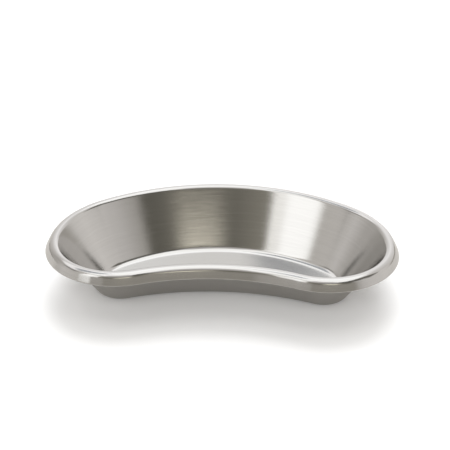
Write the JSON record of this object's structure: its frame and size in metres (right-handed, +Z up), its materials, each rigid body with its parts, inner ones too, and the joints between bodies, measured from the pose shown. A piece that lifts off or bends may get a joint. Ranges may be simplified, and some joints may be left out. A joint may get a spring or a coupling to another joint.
{
  "type": "kidney dish",
  "caption": "Shallow kidney-shaped dish pressed from satin stainless sheet, with sloping walls, a flat floor and a turned-down rim, for instruments, dressings or fluids.",
  "frame": {"origin": "underside of the flat floor, at the middle of the overall length and width", "axes": "+X along the length, +Y towards the convex back, +Z up out of the bowl"},
  "size_m": [0.25, 0.142, 0.042],
  "materials": {
    "satin_steel": "satin, brushed along the wall"
  },
  "bodies": {
    "root": {"dish_shell": "satin_steel"}
  },
  "joints": []
}
